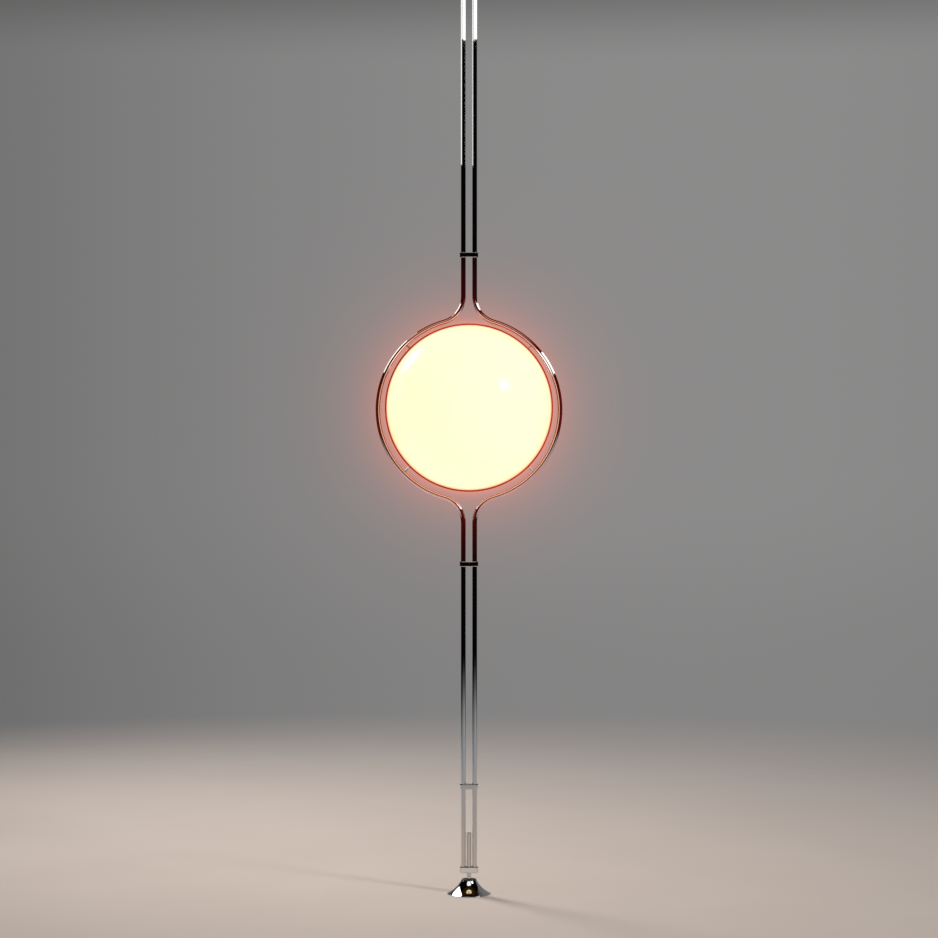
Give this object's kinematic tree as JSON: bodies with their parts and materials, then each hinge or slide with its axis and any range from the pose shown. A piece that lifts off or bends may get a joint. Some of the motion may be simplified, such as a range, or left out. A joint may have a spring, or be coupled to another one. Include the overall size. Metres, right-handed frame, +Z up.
{
  "type": "floor to ceiling lamp",
  "caption": "Opal globe held in a ring of chromed twin tubes that are wedged between floor and ceiling by flared feet on screw jacks; the globe opens at the front.",
  "frame": {"origin": "centre of the floor pad's underside, on the floor under the lamp's axis", "axes": "+Z up along the lamp's axis to the ceiling; the globe's front faces -Y; +X to the right seen from the front"},
  "size_m": [0.396, 0.35, 2.5],
  "materials": {
    "chrome": "polished",
    "steel": "plain",
    "opal": "glossy opal, lit",
    "orange_band": "glossy",
    "black_disc": "satin",
    "brass": "plain",
    "porcelain": "smooth",
    "silicone": "matte",
    "black_rubber": "matte",
    "lead_sleeve": "matte"
  },
  "bodies": {
    "frame": {"lower_tube_left": "chrome", "lower_tube_right": "chrome", "ring_tube_left": "chrome", "ring_tube_right": "chrome", "upper_tube_left": "chrome", "upper_tube_right": "chrome", "lower_coupling_bar": "chrome", "upper_coupling_bar": "chrome", "lower_guide_bar": "chrome", "upper_guide_bar": "chrome", "floor_end_block": "chrome", "ceiling_end_block": "chrome", "lower_spigots": "steel", "upper_spigots": "steel", "set_screws": "steel", "upper_support_pins": "chrome", "lower_support_pins": "chrome", "pin_nuts": "steel", "equator_band": "orange_band", "front_gasket": "silicone", "rear_gasket": "silicone", "front_shell_clips": "steel", "rear_shell_clips": "steel", "globe_rear_shell": "opal", "stem_foot": "brass", "stem_foot_screws": "steel", "lamp_stem": "brass", "lampholder_body": "porcelain", "lampholder_screw_shell": "brass", "lampholder_contact": "brass", "supply_lead": "lead_sleeve", "lead_clips": "silicone", "inlet_grommet": "black_rubber"},
    "front_shell": {"globe_front_shell": "opal"},
    "bulb": {"bulb_screw_cap": "steel", "bulb_housing": "porcelain", "bulb_dome": "opal"},
    "floor_foot": {"floor_foot_cone": "chrome", "floor_foot_disc": "black_disc", "floor_foot_pad": "black_rubber"},
    "floor_spindle": {"floor_jack_rod": "chrome", "floor_rod_washer": "steel", "floor_rod_screw": "steel"},
    "ceiling_cup": {"ceiling_cup_cone": "chrome", "ceiling_cup_disc": "black_disc", "ceiling_cup_pad": "black_rubber"},
    "ceiling_spindle": {"ceiling_jack_rod": "chrome", "ceiling_rod_washer": "steel", "ceiling_rod_screw": "steel"}
  },
  "joints": [
    {"name": "floor_foot_travel", "type": "slide", "parent": "frame", "child": "floor_foot", "axis": [0, 0, 1], "range_m": [-0.06, 0.01]},
    {"name": "floor_rod_turn", "type": "hinge", "parent": "floor_foot", "child": "floor_spindle", "pos_m": [0, 0, 0.031], "axis": [0, 0, 1], "range_deg": [-10800, 1800]},
    {"name": "ceiling_cup_travel", "type": "slide", "parent": "frame", "child": "ceiling_cup", "axis": [0, 0, 1], "range_m": [-0.01, 0.06]},
    {"name": "ceiling_rod_turn", "type": "hinge", "parent": "ceiling_cup", "child": "ceiling_spindle", "pos_m": [0, 0, 2.469], "axis": [0, 0, 1], "range_deg": [-1800, 10800]},
    {"name": "front_shell_pull", "type": "slide", "parent": "frame", "child": "front_shell", "axis": [0, -1, 0], "range_m": [0, 0.2]},
    {"name": "bulb_pull", "type": "slide", "parent": "frame", "child": "bulb", "axis": [0, 0, 1], "range_m": [0, 0.03]}
  ],
  "couplings": [
    {"joint": "floor_rod_turn", "follows": "floor_foot_travel", "rad_per_m": 3141.6},
    {"joint": "ceiling_rod_turn", "follows": "ceiling_cup_travel", "rad_per_m": 3141.6}
  ]
}
